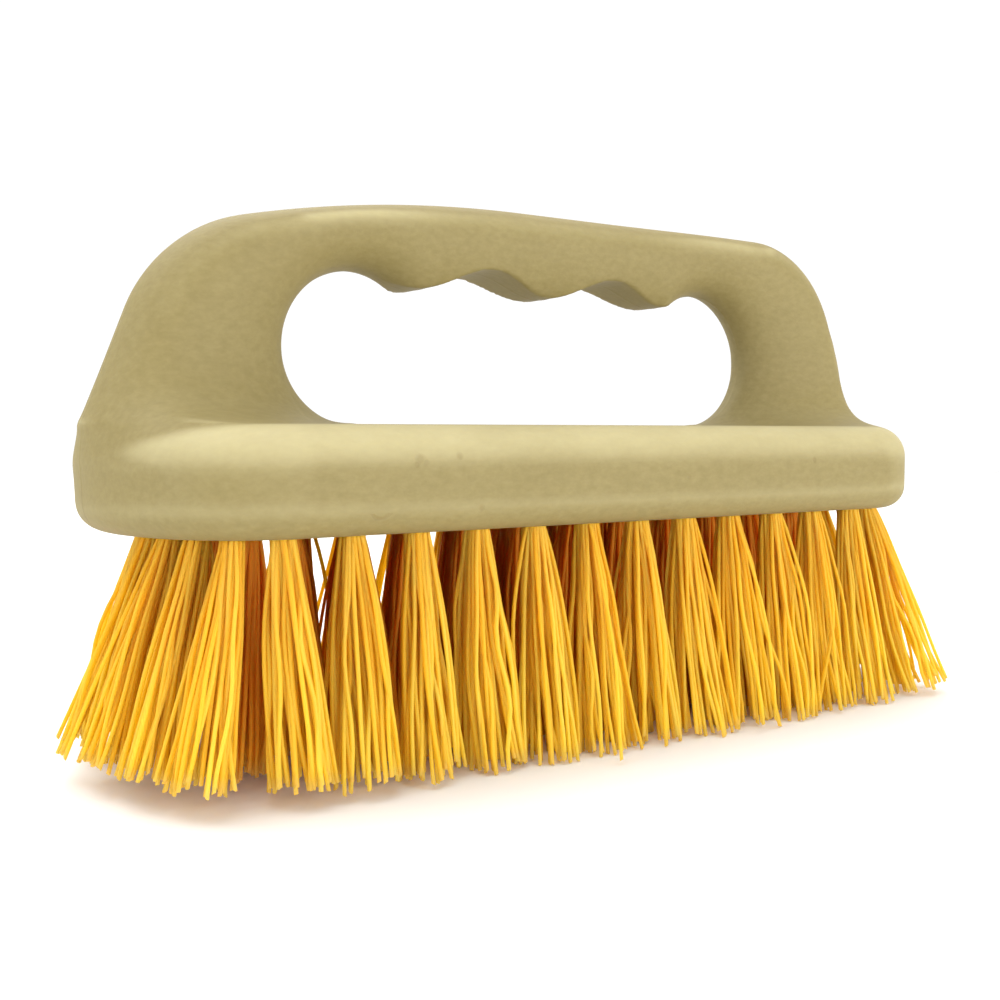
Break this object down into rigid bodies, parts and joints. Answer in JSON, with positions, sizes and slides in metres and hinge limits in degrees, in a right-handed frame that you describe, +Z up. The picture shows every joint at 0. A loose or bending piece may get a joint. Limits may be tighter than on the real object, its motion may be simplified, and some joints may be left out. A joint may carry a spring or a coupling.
{
  "type": "scrub brush",
  "caption": "Hand scrub brush: a moulded block with a closed loop handle scalloped for the fingers, and stiff bristle tufts that lean out round the edge.",
  "frame": {"origin": "centre of the whole brush in plan, at the level of the bristle ends that it stands on", "axes": "+X runs along the brush from its rounder toe to its squarer heel, +Y across it, +Z up through the handle"},
  "size_m": [0.1594, 0.0582, 0.0861],
  "materials": {
    "moulded_plastic": "matte, faintly mottled foamed moulding",
    "bristle": "semi-gloss, slightly translucent filament",
    "anchor_wire": "bright flat wire"
  },
  "bodies": {
    "root": {"moulded_body": "moulded_plastic", "tuft_row_toe": "bristle", "tuft_row_01": "bristle", "tuft_row_02": "bristle", "tuft_row_03": "bristle", "tuft_row_04": "bristle", "tuft_row_05": "bristle", "tuft_row_06": "bristle", "tuft_row_07": "bristle", "tuft_row_08": "bristle", "tuft_row_09": "bristle", "tuft_row_10": "bristle", "tuft_row_11": "bristle", "tuft_row_12": "bristle", "tuft_row_13": "bristle", "tuft_row_14": "bristle", "tuft_row_15": "bristle", "tuft_row_16": "bristle", "tuft_row_17": "bristle", "tuft_row_18": "bristle", "tuft_row_19": "bristle", "tuft_row_20": "bristle", "tuft_row_21": "bristle", "tuft_row_22": "bristle", "tuft_row_23": "bristle", "tuft_row_24": "bristle", "tuft_row_25": "bristle", "tuft_row_heel": "bristle", "anchor_row_toe": "anchor_wire", "anchor_row_01": "anchor_wire", "anchor_row_02": "anchor_wire", "anchor_row_03": "anchor_wire", "anchor_row_04": "anchor_wire", "anchor_row_05": "anchor_wire", "anchor_row_06": "anchor_wire", "anchor_row_07": "anchor_wire", "anchor_row_08": "anchor_wire", "anchor_row_09": "anchor_wire", "anchor_row_10": "anchor_wire", "anchor_row_11": "anchor_wire", "anchor_row_12": "anchor_wire", "anchor_row_13": "anchor_wire", "anchor_row_14": "anchor_wire", "anchor_row_15": "anchor_wire", "anchor_row_16": "anchor_wire", "anchor_row_17": "anchor_wire", "anchor_row_18": "anchor_wire", "anchor_row_19": "anchor_wire", "anchor_row_20": "anchor_wire", "anchor_row_21": "anchor_wire", "anchor_row_22": "anchor_wire", "anchor_row_23": "anchor_wire", "anchor_row_24": "anchor_wire", "anchor_row_25": "anchor_wire", "anchor_row_heel": "anchor_wire"}
  },
  "joints": []
}
